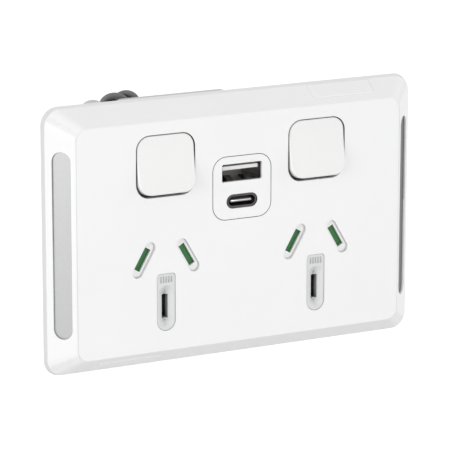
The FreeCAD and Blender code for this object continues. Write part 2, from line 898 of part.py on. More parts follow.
def can(radius, length, x, z):
    """A round capacitor standing on the board."""
    y = front_housing_back + board_thickness
    return rod(radius, V(x, y, usb_z + z), V(x, y + length, usb_z + z))


def controller_chip():
    y = front_housing_back + board_thickness
    x, z = chip_place
    return slab(chip_size, chip_size, 0, y, y + chip_thickness, x, usb_z + z)


# Leads
def bundle_radius():
    return lead_spread + lead_radius


def lead_path(side):
    """One lead of the pair: the outer one (1) loops further back than the inner one (-1)."""
    aside = side * lead_spread
    back = lead_back + aside
    start = V(lead_exit_x, lead_exit_depth, lead_exit_z - aside)
    end = V(lead_entry_x, lead_entry_depth, lead_entry_z - aside)
    loop = [V(x, back, z) for x, z in lead_crest]
    return [start, V(start.x, back, start.z)] + loop + [V(end.x, back, end.z), end]


def tube(points, radius):
    """A round tube of straight runs joined by tangent arcs."""
    edges = []
    start = points[0]
    radii = []
    for before, corner, after in zip(points, points[1:], points[2:]):
        into = corner.sub(before)
        out = after.sub(corner)
        reach = min(0.45 * into.Length, 0.45 * out.Length, lead_bend)
        into.normalize()
        out.normalize()
        turn = into.getAngle(out)
        bend = reach / math.tan(turn / 2)
        first = corner.sub(into * reach)
        last = corner.add(out * reach)
        inward = out.sub(into).normalize()
        middle = corner.add(inward * (bend / math.cos(turn / 2) - bend))
        edges.append(Part.LineSegment(start, first).toShape())
        edges.append(Part.Arc(first, middle, last).toShape())
        start = last
        radii.append(bend)
    edges.append(Part.LineSegment(start, points[-1]).toShape())
    length = sum(edge.Length for edge in edges)
    ring = Part.Wire(Part.makeCircle(radius, points[0], points[1].sub(points[0])))
    body = Part.Wire(edges).makePipeShell([ring], True, False)
    share = body.Volume / (math.pi * radius ** 2 * length)
    print("lead: length %.1f, smallest bend %.2f, volume share %.4f" % (length, min(radii), share))
    return body


def lead_grommet():
    inner = bundle_radius() + lead_room
    outer = inner + grommet_wall
    front = module_depth - housing_wall
    start = V(lead_exit_x, front, lead_exit_z)
    end = V(lead_exit_x, module_depth + grommet_stand, lead_exit_z)
    return rod(outer, start, end).cut(rod(inner, start, end))


def build():
    nodes = {
        "cover_plate": cover_plate(),
        "mounting_frame": mounting_frame(),
        "front_housing": front_housing(),
        "rear_housing": rear_housing(),
        "active_bar": active_bar(),
        "neutral_bar": neutral_bar(),
        "earth_bar": earth_bar(),
        "terminal_screws": Part.makeCompound([terminal_screw(x, z) for x, z in terminal_places().values()]),
        "usb_bezel": usb_bezel(),
        "usb_a_shell": usb_a_shell(),
        "usb_a_tongue": usb_a_tongue(),
        "usb_c_shell": usb_c_shell(),
        "usb_c_tongue": usb_c_tongue(),
        "circuit_board": circuit_board(),
        "transformer": transformer(),
        "mains_capacitor": can(mains_can_radius, mains_can_length, *mains_can_place),
        "output_capacitor": can(output_can_radius, output_can_length, *output_can_place),
        "controller_chip": controller_chip(),
        "first_lead": tube(lead_path(1), lead_radius),
        "second_lead": tube(lead_path(-1), lead_radius),
        "lead_grommet": lead_grommet(),
    }
    for side, sign in SIDES.items():
        nodes[side + "_side_strip"] = side_strip(sign)
        nodes[side + "_earth_insert"] = earth_insert(sign)
        nodes[side + "_rocker"] = rocker(sign)
        nodes[side + "_plunger"] = plunger(sign)
        nodes[side + "_plunger_spring"] = plunger_spring(sign)
        nodes[side + "_switch_arm"] = switch_arm(sign)
        nodes[side + "_shutter"] = shutter(sign)
        nodes[side + "_shutter_spring"] = shutter_spring(sign)
        nodes[side + "_active_contact"] = active_contact(sign)
    return nodes


def export(nodes):
    os.makedirs("parts", exist_ok=True)
    for name, shape in nodes.items():
        shape.exportStep("parts/" + name + ".step")


export(build())
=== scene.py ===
import json
import math

import bmesh
import bpy
from mathutils import Matrix, Vector


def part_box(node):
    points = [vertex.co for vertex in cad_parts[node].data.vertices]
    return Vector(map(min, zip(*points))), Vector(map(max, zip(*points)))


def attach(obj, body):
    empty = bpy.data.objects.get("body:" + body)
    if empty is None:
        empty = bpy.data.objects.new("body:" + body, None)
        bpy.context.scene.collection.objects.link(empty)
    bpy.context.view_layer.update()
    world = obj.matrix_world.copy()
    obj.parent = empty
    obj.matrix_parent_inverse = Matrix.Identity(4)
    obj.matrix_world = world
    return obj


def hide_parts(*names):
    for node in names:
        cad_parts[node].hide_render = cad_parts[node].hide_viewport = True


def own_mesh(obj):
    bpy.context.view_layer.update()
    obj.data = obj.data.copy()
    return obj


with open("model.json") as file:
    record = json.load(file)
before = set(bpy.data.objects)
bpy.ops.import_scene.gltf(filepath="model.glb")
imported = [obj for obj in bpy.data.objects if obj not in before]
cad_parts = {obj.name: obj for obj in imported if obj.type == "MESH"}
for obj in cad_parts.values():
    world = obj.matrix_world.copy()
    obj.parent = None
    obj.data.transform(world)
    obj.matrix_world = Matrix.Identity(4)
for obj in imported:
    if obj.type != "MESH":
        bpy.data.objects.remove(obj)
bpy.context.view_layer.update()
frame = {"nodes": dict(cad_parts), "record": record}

MM = 0.001
NODES = frame["nodes"]
SIDES = {"left": -1, "right": 1}
SHARP_ANGLE = math.radians(28)

# The plate, as the frame has it
PLATE_LOW, PLATE_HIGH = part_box("cover_plate")
FRONT_Y = PLATE_LOW[1]
HALF_HEIGHT = PLATE_HIGH[2]

# The top and bottom bevels, from the rim to the flat front
RIM_WALL = 1.6 * MM
RIM_DRAFT = 0.5 * MM
BEVEL_INSET = 5.45 * MM

# Camera, as the photograph was taken, with its focal length in the photograph's pixels
VIEW_AZIMUTH = math.radians(-26.873)
VIEW_ELEVATION = math.radians(13.985)
VIEW_ROLL = math.radians(0.038)
VIEW_DISTANCE = 838.22 * MM
VIEW_OFFSET = (-1.174 * MM, -0.933 * MM)
FOCAL_PIXELS = 2942.9
IMAGE_WIDTH = 450
SENSOR = 36.0
NEAR_CLIP = 0.01

# Light: the world's strength, the softboxes in metres and watts, and the floor
WORLD_LIGHT = 0.64
SOFTBOXES = {
    "left": {"place": (-1.24, -0.38, 0.05), "size": (0.5, 0.9), "power": 6.4},
    "right": {"place": (1.25, -0.335, 0.113), "size": (0.5, 0.9), "power": 3.0},
    "front": {"place": (0.0, -1.4, 0.0), "size": (0.7, 0.7), "power": 7.6},
}
FLOOR_DROP = 0.14
FLOOR_HALF = 3.0
FLOOR_GREY = 0.6
FLOOR_ROUGH = 0.9
FLOOR_GLOW = 0.7

# Moulded plastic: flow marks, surface grain and how far the roughness wanders
FLOW_SCALE = 45.0
GRAIN_SCALE = 2600.0
GRAIN_DEPTH = 0.02 * MM
GRAIN_SPREAD = 0.05

# Sheet metal: fine marks drawn out along Y, and how far the roughness wanders
MARK_SCALE = 3000.0
MARK_STRETCH = (1.0, 40.0, 1.0)
MARK_DEPTH = 0.01 * MM
MARK_SPREAD = (-0.06, 0.08)

# Painted seam shade: how far ambient occlusion looks, and which of its values count as closed and as open
SEAM_REACH = 0.75 * MM
SEAM_CLOSED = 0.2
SEAM_OPEN = 0.95
SEAM_SAMPLES = 6

# The cover has less painted seam shade round the blade slots, which all lie below the USB module
SLOTS_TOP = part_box("usb_bezel")[0][2] - 0.5 * MM
SLOTS_FADE = 0.5 * MM
SLOTS_LESS_SHADE = 0.17

# How squarely the cover looks forward at its rim's wall, bevels, small round and flat front, for the painted
# shade at the plate's ends
RIM_FACING = 0.4
BEVEL_FACING = (0.6, 0.76)
ROUND_FACING = (0.82, 0.96)
FRONT_FACING = 0.998

# How far a face has turned sideways when the painted shade of the plate's ends starts and is whole
END_TURNED = (0.1, 0.6)

# How squarely a face of sheet metal looks forward when its darkening starts and is whole
FRONT_BACK_FACING = (0.6, 0.9)

# Trim that is too fine for the frame. The A pins lie at the underside of their port's tongue
EARTH_RIB = {"count": 5, "pitch": 0.82 * MM, "width": 0.3 * MM, "height": 1.8 * MM, "drop": 0.75 * MM,
             "lift": 0.1 * MM, "set_back": 0.1 * MM, "edge": 0.03 * MM}
A_PINS = {"places": (-3.5 * MM, -1.0 * MM, 1.0 * MM, 3.5 * MM), "width": 1.0 * MM, "lift": 0.12 * MM,
          "start": 1.2 * MM, "end": 8.0 * MM, "under": 16.9 * MM, "edge": 0.05 * MM}
A_SPRINGS = {"places": (-2.9 * MM, 2.9 * MM), "width": 1.9 * MM, "start": 0.9 * MM, "length": 5.4 * MM,
             "rise": 0.75 * MM, "bow": 1.5, "taper": 0.25, "sheet": 0.25 * MM, "floor": 0.3 * MM, "steps": 14}
C_PLATE = {"half": 0.14 * MM, "proud": 0.02 * MM, "depth": 1.0 * MM, "margin": 1.05 * MM, "edge": 0.03 * MM}
C_PINS = {"count": 12, "pitch": 0.5 * MM, "width": 0.24 * MM, "lift": 0.03 * MM, "start": 1.6 * MM,
          "length": 5.0 * MM, "half_tongue": 0.375 * MM}
PAD = {"near": (23.8 * MM, 24.4 * MM), "far": (43.7 * MM, 43.9 * MM), "start": 0.1 * MM, "end": 5.3 * MM,
       "lift": 0.14 * MM, "slant": 0.25 * MM, "sink": 0.02 * MM}

# The plunger's coil, drawn about the rocker's pivot, and the leaf behind the shutter
PIVOT = {"x": 23.8 * MM, "y": -5.0 * MM, "z": 20.5 * MM, "tilt": math.radians(-8)}
COIL = {"start": -1.7 * MM, "length": 3.7 * MM, "radius": 1.05 * MM, "wire": 0.2 * MM, "turns": 4.5,
        "travel": 0.8 * MM, "steps": 24, "sides": 8}
LEAF = {"sheet": 0.3 * MM, "travel": 2.6 * MM, "steps": 16}

# The leads' route in millimetres, from the grommet into the housing, and their twist
LEAD_ROUTE = [(-9.0, 34.5, 21.2), (-9.0, 42.0, 21.2), (-9.6, 42.0, 30.3), (-20.6, 42.0, 29.5),
              (-25.0, 42.0, 13.2), (-25.0, 25.5, 13.2)]
LEAD_RADIUS = 1.05 * MM
LEAD_SPREAD = 1.06 * MM
LEAD_PITCH = 12.4 * MM
LEAD_PHASE = math.radians(80)
LEAD_SIDES = 20
LEAD_STEPS = 24

# The housing's screws: where they stand on its back, their dome, and the cross cut in it
BOSS_PLACE = (34.3 * MM, 26.9 * MM)
BOSS_LEVEL = 28.0 * MM
BOSS_SCREW = {"radius": 2.1 * MM, "height": 1.3 * MM, "flat": 0.45, "rim": 0.35, "steps": 5, "sides": 32,
              "half": 0.28 * MM, "reach": 1.25 * MM, "depth": 0.75 * MM, "taper": 0.8}


def new_material(name):
    """An empty node material with its output and a Principled shader."""
    material = bpy.data.materials.new(name)
    material.use_nodes = True
    tree = material.node_tree
    shader = tree.nodes["Principled BSDF"]
    return material, tree, shader


def node(tree, kind, **values):
    """A shader node with its inputs set by name."""
    made = tree.nodes.new(kind)
    for key, value in values.items():
        made.inputs[key.replace("_", " ")].default_value = value
    return made


def grey(value):
    """A plain grey, as a colour."""
    return (value, value, value)


def arithmetic(tree, operation, *values):
    """The result of a maths node on one or two grey values."""
    made = tree.nodes.new("ShaderNodeMath")
    made.operation = operation
    for number, value in enumerate(values):
        tree.links.new(value, made.inputs[number])
    return made.outputs[0]


def ramp(tree, source, low, high, start=0.35, end=0.65):
    """A two-colour ramp driven by a grey value."""
    made = tree.nodes.new("ShaderNodeValToRGB")
    made.color_ramp.elements[0].position = start
    made.color_ramp.elements[1].position = end
    made.color_ramp.elements[0].color = (*low, 1.0)
    made.color_ramp.elements[1].color = (*high, 1.0)
    tree.links.new(source, made.inputs["Fac"])
    return made


def span(tree, source, low, high, start=0.0, end=1.0):
    """A grey value moved from one range, start to end, into another, low to high."""
    made = tree.nodes.new("ShaderNodeMapRange")
    made.inputs["From Min"].default_value = start
    made.inputs["From Max"].default_value = end
    made.inputs["To Min"].default_value = low
    made.inputs["To Max"].default_value = high
    tree.links.new(source, made.inputs["Value"])
    return made.outputs["Result"]


def multiply(tree, colour, shade, share=None):
    """A colour times a shade, in full or by a share that is a grey value."""
    made = tree.nodes.new("ShaderNodeMix")
    made.data_type = "RGBA"
    made.blend_type = "MULTIPLY"
    made.inputs["Factor"].default_value = 1.0
    if share is not None:
        tree.links.new(share, made.inputs["Factor"])
    tree.links.new(colour, made.inputs["A"])
    tree.links.new(shade.outputs["Color"], made.inputs["B"])
    return made.outputs["Result"]


def object_noise(tree, scale, detail=2.0):
    """Noise in the object's own coordinates, so that it stays put on the part."""
    place = tree.nodes.new("ShaderNodeTexCoord")
    noise = node(tree, "ShaderNodeTexNoise", Scale=scale, Detail=detail)
    tree.links.new(place.outputs["Object"], noise.inputs["Vector"])
    return noise


def facing(tree, axis):
    """How squarely a face looks along one of the part's axes, either way, from 0 to 1."""
    place = tree.nodes.new("ShaderNodeTexCoord")
    parts = tree.nodes.new("ShaderNodeSeparateXYZ")
    tree.links.new(place.outputs["Normal"], parts.inputs[0])
    return arithmetic(tree, "ABSOLUTE", parts.outputs[axis])


def add_bump(tree, shader, height, strength, distance):
    """Bump on the shader from a grey height."""
    bump = node(tree, "ShaderNodeBump", Strength=strength, Distance=distance)
    tree.links.new(height, bump.inputs["Height"])
    tree.links.new(bump.outputs["Normal"], shader.inputs["Normal"])


def less_shade_share(tree, level):
    """How much less painted seam shade the cover has below a height on the part, fading to nothing up to that
    height.
    """
    place = tree.nodes.new("ShaderNodeTexCoord")
    parts = tree.nodes.new("ShaderNodeSeparateXYZ")
    tree.links.new(place.outputs["Object"], parts.inputs[0])
    return span(tree, parts.outputs["Z"], SLOTS_LESS_SHADE, 0.0, level - SLOTS_FADE, level)


def paint_seam_shade(tree, colour, floor, reach, less_shade_below=None):
    """Painted shade in the narrow seams between pieces, less of it below a height when one is given."""
    closed = tree.nodes.new("ShaderNodeAmbientOcclusion")
    closed.samples = SEAM_SAMPLES
    closed.inputs["Distance"].default_value = reach
    openness = closed.outputs["AO"]
    if less_shade_below is not None:
        openness = arithmetic(tree, "ADD", openness, less_shade_share(tree, less_shade_below))
    shade = ramp(tree, openness, grey(floor), grey(1.0), SEAM_CLOSED, SEAM_OPEN)
    return multiply(tree, colour, shade)


def paint_end_shade(tree, colour, round_shade, rim_shade):
    """At the plate's two ends, painted shade on the small round of the front and on the rim's wall."""
    band = ramp(tree, facing(tree, "Y"), grey(rim_shade), grey(1.0), RIM_FACING, FRONT_FACING)
    spots = [(place, 1.0) for place in BEVEL_FACING] + [(place, round_shade) for place in ROUND_FACING]
    for place, value in spots:
        stop = band.color_ramp.elements.new(place)
        stop.color = (*grey(value), 1.0)
    share = span(tree, facing(tree, "X"), 0.0, 1.0, *END_TURNED)
    return multiply(tree, colour, band, share)


def darken_front_back(tree, colour, shade):
    """Sheet metal is darker where its faces look front or back."""
    band = ramp(tree, facing(tree, "Y"), grey(1.0), grey(shade), *FRONT_BACK_FACING)
    return multiply(tree, colour, band)


def moulded(name, colour, rough=0.38, grain=0.12, mottle=0.012, seam_shade=None, reach=SEAM_REACH,
            less_shade_below=None, ends=None):
    """Moulded plastic: slight flow marks in the colour and a fine surface grain, with painted seam shade and
    painted shade at the plate's ends when asked for.
    """
    material, tree, shader = new_material(name)
    flow = object_noise(tree, FLOW_SCALE, detail=3.0)
    darker = tuple(channel * (1.0 - mottle) for channel in colour)
    finish = ramp(tree, flow.outputs["Fac"], darker, colour).outputs["Color"]
    # Painted shade in the seams, from ambient occlusion
    if seam_shade is not None:
        finish = paint_seam_shade(tree, finish, seam_shade, reach, less_shade_below)
    # ends: the painted shade on the small round and the rim at the plate's two ends
    if ends is not None:
        finish = paint_end_shade(tree, finish, *ends)
    tree.links.new(finish, shader.inputs["Base Color"])
    fine = object_noise(tree, GRAIN_SCALE)
    gloss = span(tree, fine.outputs["Fac"], rough - GRAIN_SPREAD, rough + GRAIN_SPREAD)
    tree.links.new(gloss, shader.inputs["Roughness"])
    add_bump(tree, shader, fine.outputs["Fac"], grain, GRAIN_DEPTH)
    return material


def metal(name, colour, rough=0.25, brush=0.25, edge=1.0, streak=0.12, front_back_dark=None):
    """Plated sheet, or silver paint with a darker edge, with fine marks along one direction."""
    material, tree, shader = new_material(name)
    shader.inputs["Metallic"].default_value = 1.0
    shader.inputs["Specular Tint"].default_value = (*grey(edge), 1.0)
    place = tree.nodes.new("ShaderNodeTexCoord")
    drawn = tree.nodes.new("ShaderNodeMapping")
    drawn.inputs["Scale"].default_value = [1.0 / value for value in MARK_STRETCH]
    marks = node(tree, "ShaderNodeTexNoise", Scale=MARK_SCALE, Detail=3.0)
    tree.links.new(place.outputs["Object"], drawn.inputs["Vector"])
    tree.links.new(drawn.outputs["Vector"], marks.inputs["Vector"])
    darker = tuple(channel * (1.0 - streak) for channel in colour)
    finish = ramp(tree, marks.outputs["Fac"], darker, colour).outputs["Color"]
    if front_back_dark is not None:
        finish = darken_front_back(tree, finish, front_back_dark)
    tree.links.new(finish, shader.inputs["Base Color"])
    gloss = span(tree, marks.outputs["Fac"], rough + MARK_SPREAD[0], rough + MARK_SPREAD[1])
    tree.links.new(gloss, shader.inputs["Roughness"])
    add_bump(tree, shader, marks.outputs["Fac"], brush, MARK_DEPTH)
    return material


def make_materials():
    """Every finish, by the name of its slot."""
    return {
        # Painted seam shade on the cover, rockers, bezel, earth inserts, housing and leads; painted shade at
        # the cover's ends
        "cover_white": moulded("cover_white", (0.9, 0.9, 0.9), rough=0.42, seam_shade=0.04,
                               less_shade_below=SLOTS_TOP, ends=(0.55, 0.84)),
        "rocker_white": moulded("rocker_white", (0.865, 0.865, 0.86), rough=0.36, seam_shade=0.0, reach=1.4 * MM),
        "bezel_white": moulded("bezel_white", (0.9, 0.9, 0.9), rough=0.4, seam_shade=0.0, reach=1.6 * MM),
        "strip_grey": metal("strip_grey", (0.37, 0.37, 0.375), rough=0.38, brush=0.03, edge=0.3, streak=0.05),
        "earth_grey": moulded("earth_grey", (0.72, 0.724, 0.728), rough=0.42, mottle=0.02, seam_shade=0.3,
                              reach=2.4 * MM),
        "shutter_green": moulded("shutter_green", (0.028, 0.17, 0.042), rough=0.55, mottle=0.06),
        "housing_pale": moulded("housing_pale", (0.68, 0.68, 0.67), rough=0.5, grain=0.3, mottle=0.03,
                                seam_shade=0.0, reach=4.0 * MM),
        "frame_white": moulded("frame_white", (0.8, 0.8, 0.78), rough=0.5, grain=0.3, mottle=0.03),
        "tongue_white": moulded("tongue_white", (0.85, 0.85, 0.84), rough=0.5),
        "tongue_grey": moulded("tongue_grey", (0.16, 0.16, 0.16), rough=0.5),
        "board_green": moulded("board_green", (0.02, 0.12, 0.05), rough=0.35, mottle=0.1),
        "core_dark": moulded("core_dark", (0.03, 0.03, 0.032), rough=0.6, mottle=0.1),
        "can_dark": moulded("can_dark", (0.02, 0.022, 0.03), rough=0.3, mottle=0.05),
        "lead_grey": moulded("lead_grey", (0.2, 0.202, 0.206), rough=0.4, grain=0.35, mottle=0.12, seam_shade=0.3),
        "grommet_dark": moulded("grommet_dark", (0.03, 0.03, 0.032), rough=0.6, mottle=0.1),
        "contact_brass": metal("contact_brass", (0.72, 0.52, 0.2), rough=0.32),
        "steel": metal("steel", (0.66, 0.67, 0.69), rough=0.28),
        "port_steel": metal("port_steel", (0.36, 0.356, 0.352), rough=0.3, edge=0.8, front_back_dark=0.26),
    }


def dress_frame():
    """Gives every CAD node its finish and shades its curved faces smoothly."""
    for part in frame["record"]["subparts"]:
        made = NODES[part["node"]]
        made.data.materials.clear()
        made.data.materials.append(materials[part["material_slot"]])
        for face in made.data.polygons:
            face.use_smooth = True
            face.material_index = 0
        made.data.set_sharp_from_angle(angle=SHARP_ANGLE)


def set_camera():
    """The photograph's own view: the camera stands off along the view direction and shifts sideways."""
    azimuth, elevation = VIEW_AZIMUTH, VIEW_ELEVATION
    back = Vector((math.sin(azimuth) * math.cos(elevation), -math.cos(azimuth) * math.cos(elevation),
                   math.sin(elevation)))
    right = Vector((math.cos(azimuth), math.sin(azimuth), 0.0))
    right.rotate(Matrix.Rotation(VIEW_ROLL, 3, back))
    up = back.cross(right)
    place = back * VIEW_DISTANCE + right * VIEW_OFFSET[0] + up * VIEW_OFFSET[1]
    data = bpy.data.cameras.new("camera")
    data.sensor_width = SENSOR
    data.sensor_fit = "HORIZONTAL"
    data.lens = FOCAL_PIXELS / IMAGE_WIDTH * SENSOR
    data.clip_start = NEAR_CLIP
    camera = bpy.data.objects.new("camera", data)
    turn = Matrix((right, up, back)).transposed().to_4x4()
    camera.matrix_world = Matrix.Translation(place) @ turn
    bpy.context.scene.collection.objects.link(camera)
    bpy.context.scene.camera = camera


def seen_plainly(tree):
    """1 for the rays that should see a plain white background."""
    path = tree.nodes.new("ShaderNodeLightPath")
    direct = arithmetic(tree, "MAXIMUM", path.outputs["Is Camera Ray"], path.outputs["Is Glossy Ray"])
    return arithmetic(tree, "MAXIMUM", direct, path.outputs["Is Transmission Ray"])


def set_world():
    """White to look at, and a soft even light on the part."""
    world = bpy.data.worlds.new("studio")
    world.use_nodes = True
    tree = world.node_tree
    light = tree.nodes["Background"]
    light.inputs["Color"].default_value = (1.0, 1.0, 1.0, 1.0)
    light.inputs["Strength"].default_value = WORLD_LIGHT
    plain = node(tree, "ShaderNodeBackground", Color=(1.0, 1.0, 1.0, 1.0), Strength=1.0)
    mix = tree.nodes.new("ShaderNodeMixShader")
    tree.links.new(seen_plainly(tree), mix.inputs["Fac"])
    tree.links.new(light.outputs[0], mix.inputs[1])
    tree.links.new(plain.outputs[0], mix.inputs[2])
    tree.links.new(mix.outputs[0], tree.nodes["World Output"].inputs["Surface"])
    bpy.context.scene.world = world


def set_lamps():
    """The softboxes, each turned towards the part."""
    for name, facts in SOFTBOXES.items():
        data = bpy.data.lights.new("softbox_" + name, "AREA")
        data.shape = "RECTANGLE"
        data.size, data.size_y = facts["size"]
        data.energy = facts["power"]
        lamp = bpy.data.objects.new("softbox_" + name, data)
        lamp.location = facts["place"]
        lamp.rotation_euler = (-Vector(facts["place"])).to_track_quat("-Z", "Y").to_euler()
        bpy.context.scene.collection.objects.link(lamp)


def set_floor():
    """A pale floor below the part, white to the eye but for the part's shadow."""
    mesh = bpy.data.meshes.new("floor")
    level = PLATE_LOW[2] - FLOOR_DROP
    corners = [(-FLOOR_HALF, -FLOOR_HALF, level), (FLOOR_HALF, -FLOOR_HALF, level),
               (FLOOR_HALF, FLOOR_HALF, level), (-FLOOR_HALF, FLOOR_HALF, level)]
    mesh.from_pydata(corners, [], [(0, 1, 2, 3)])
    floor = bpy.data.objects.new("floor", mesh)
    material, tree, shader = new_material("floor_pale")
    shader.inputs["Base Color"].default_value = (*grey(FLOOR_GREY), 1.0)
    shader.inputs["Roughness"].default_value = FLOOR_ROUGH
    glow = node(tree, "ShaderNodeEmission", Strength=FLOOR_GLOW)
    both = tree.nodes.new("ShaderNodeAddShader")
    pick = tree.nodes.new("ShaderNodeMixShader")
    tree.links.new(shader.outputs[0], both.inputs[0])
    tree.links.new(glow.outputs[0], both.inputs[1])
    tree.links.new(seen_plainly(tree), pick.inputs["Fac"])
    tree.links.new(shader.outputs[0], pick.inputs[1])
    tree.links.new(both.outputs[0], pick.inputs[2])
    tree.links.new(pick.outputs[0], tree.nodes["Material Output"].inputs["Surface"])
    mesh.materials.append(material)
    bpy.context.scene.collection.objects.link(floor)


def piece(name, mesh_maker, slot, body="base"):
    """A new mesh piece built by a function on an empty bmesh, with a slot's finish, riding on a body."""
    mesh = bpy.data.meshes.new(name)
    shape = bmesh.new()
    mesh_maker(shape)
    bmesh.ops.recalc_face_normals(shape, faces=shape.faces)
    shape.to_mesh(mesh)
    shape.free()
    for face in mesh.polygons:
        face.use_smooth = True
    mesh.set_sharp_from_angle(angle=SHARP_ANGLE)
    made = bpy.data.objects.new(name, mesh)
    mesh.materials.append(materials[slot])
    bpy.context.scene.collection.objects.link(made)
    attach(made, body)
    return made


def add_bar(shape, low, high, edge=0.0):
    """A block from corner to corner, with rounded edges when an edge size is given."""
    low, high = Vector(low), Vector(high)
    made = bmesh.ops.create_cube(shape, size=1.0)
    size = high - low
    bmesh.ops.scale(shape, vec=size, verts=made["verts"])
    bmesh.ops.translate(shape, vec=(low + high) / 2, verts=made["verts"])
    if edge:
        edges = list({e for v in made["verts"] for e in v.link_edges})
        bmesh.ops.bevel(shape, geom=edges, offset=edge, segments=3, affect="EDGES", profile=0.5)


def join_rings(shape, rings, ends=True):
    """Faces from each ring of vertices to the next, and over both ends unless told otherwise."""
    for one, two in zip(rings, rings[1:]):
        count = len(one)
        for k in range(count):
            after = (k + 1) % count
            shape.faces.new((one[k], one[after], two[after], two[k]))
    if ends:
        shape.faces.new(rings[0])
        shape.faces.new(list(reversed(rings[-1])))


def make_earth_ribs(side):
    """Plain short ribs at the head of an earth insert."""
    low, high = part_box(side + "_earth_insert")
    middle = (low[0] + high[0]) / 2
    front = FRONT_Y + EARTH_RIB["set_back"]
    top = high[2] - EARTH_RIB["drop"]
    half = EARTH_RIB["width"] / 2

    def build(shape):
        for number in range(EARTH_RIB["count"]):
            x = middle + (number - (EARTH_RIB["count"] - 1) / 2) * EARTH_RIB["pitch"]
            add_bar(shape, (x - half, front - EARTH_RIB["lift"], top - EARTH_RIB["height"]),
                    (x + half, front + EARTH_RIB["lift"], top), EARTH_RIB["edge"])

    piece(side + "_earth_ribs", build, "strip_grey")


def make_a_pins():
    """The four gold contacts under the tongue of the A port."""
    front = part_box("usb_a_tongue")[0][1]
    under = A_PINS["under"]
    half = A_PINS["width"] / 2

    def build(shape):
        for x in A_PINS["places"]:
            add_bar(shape, (x - half, front + A_PINS["start"], under - A_PINS["lift"]),
                    (x + half, front + A_PINS["end"], under + A_PINS["lift"]), A_PINS["edge"])

    piece("usb_a_pins", build, "contact_brass")


def make_a_springs():
    """The two bowed grip springs in the floor of the A port's shell."""
    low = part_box("usb_a_shell")[0]
    floor = low[2] + A_SPRINGS["floor"]
    sheet = A_SPRINGS["sheet"]

    def build(shape):
        for x in A_SPRINGS["places"]:
            rings = []
            for number in range(A_SPRINGS["steps"] + 1):
                share = number / A_SPRINGS["steps"]
                y = low[1] + A_SPRINGS["start"] + share * A_SPRINGS["length"]
                level = floor + A_SPRINGS["rise"] * math.sin(math.pi * share) ** A_SPRINGS["bow"]
                half = A_SPRINGS["width"] / 2 * (1.0 - A_SPRINGS["taper"] * share)
                ring = [(x - half, y, level), (x + half, y, level),
                        (x + half, y, level + sheet), (x - half, y, level + sheet)]
                rings.append([shape.verts.new(corner) for corner in ring])
            join_rings(shape, rings)

    piece("usb_a_springs", build, "port_steel")


def make_c_plate():
    """The thin steel plate that shows along the middle of the C port's tongue."""
    low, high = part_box("usb_c_tongue")
    middle = (low[2] + high[2]) / 2

    def build(shape):
        add_bar(shape, (low[0] + C_PLATE["margin"], low[1] - C_PLATE["proud"], middle - C_PLATE["half"]),
                (high[0] - C_PLATE["margin"], low[1] + C_PLATE["depth"], middle + C_PLATE["half"]),
                C_PLATE["edge"])

    piece("usb_c_plate", build, "steel")


def make_c_pins():
    """Fine contacts on both faces of the C port's tongue."""
    low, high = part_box("usb_c_tongue")
    middle = (low[2] + high[2]) / 2
    front = low[1] + C_PINS["start"]
    level = C_PINS["half_tongue"] + C_PINS["lift"]
    half = C_PINS["width"] / 2

    def build(shape):
        for number in range(C_PINS["count"]):
            x = (number - (C_PINS["count"] - 1) / 2) * C_PINS["pitch"]
            add_bar(shape, (x - half, front, middle - level),
                    (x + half, front + C_PINS["length"], middle + level))

    piece("usb_c_pins", build, "contact_brass")


def from_pivot(sign, point):
    """A point drawn about the rocker's pivot, moved to where it is with the rocker off."""
    place = Vector(point)
    place.rotate(Matrix.Rotation(PIVOT["tilt"], 3, "X"))
    return place + Vector((sign * PIVOT["x"], PIVOT["y"], PIVOT["z"]))


def make_coil(side, sign):
    """The round-wire spring behind a plunger."""
    wire = COIL["wire"]
    count = int(COIL["turns"] * COIL["steps"])
    rise = COIL["length"] - 2 * wire

    def build(shape):
        rings = []
        for number in range(count + 1):
            angle = 2 * math.pi * number / COIL["steps"]
            out = Vector((math.cos(angle), 0.0, math.sin(angle)))
            middle = out * COIL["radius"]
            middle.y = COIL["start"] + wire + rise * number / count
            ring = []
            for k in range(COIL["sides"]):
                turn = 2 * math.pi * k / COIL["sides"]
                offset = out * math.cos(turn) + Vector((0.0, math.sin(turn), 0.0))
                ring.append(shape.verts.new(from_pivot(sign, middle + offset * wire)))
            rings.append(ring)
        join_rings(shape, rings)

    made = piece(side + "_plunger_coil", build, "steel", side + "_rocker_body")
    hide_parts(side + "_plunger_spring")
    axis = Vector((0.0, 1.0, 0.0))
    axis.rotate(Matrix.Rotation(PIVOT["tilt"], 3, "X"))
    anchor = from_pivot(sign, (0.0, COIL["start"], 0.0))
    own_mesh(made)


def make_leaf(side, sign):
    """The bowed leaf that pushes a shutter closed."""
    low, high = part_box(side + "_shutter_spring")
    width = high[0] - low[0]
    room = width - LEAF["sheet"]
    touching = high[0] if sign > 0 else low[0]
    middle = (low[2] + high[2]) / 2
    half = (high[2] - low[2]) / 2

    def build(shape):
        rings = []
        for number in range(LEAF["steps"] + 1):
            share = 2.0 * number / LEAF["steps"] - 1.0
            near = touching - sign * room * share ** 2
            far = near - sign * LEAF["sheet"]
            z = middle + half * share
            ring = [(near, low[1], z), (near, high[1], z), (far, high[1], z), (far, low[1], z)]
            rings.append([shape.verts.new(corner) for corner in ring])
        join_rings(shape, rings)

    made = piece(side + "_shutter_leaf", build, "steel")
    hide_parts(side + "_shutter_spring")
    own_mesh(made)


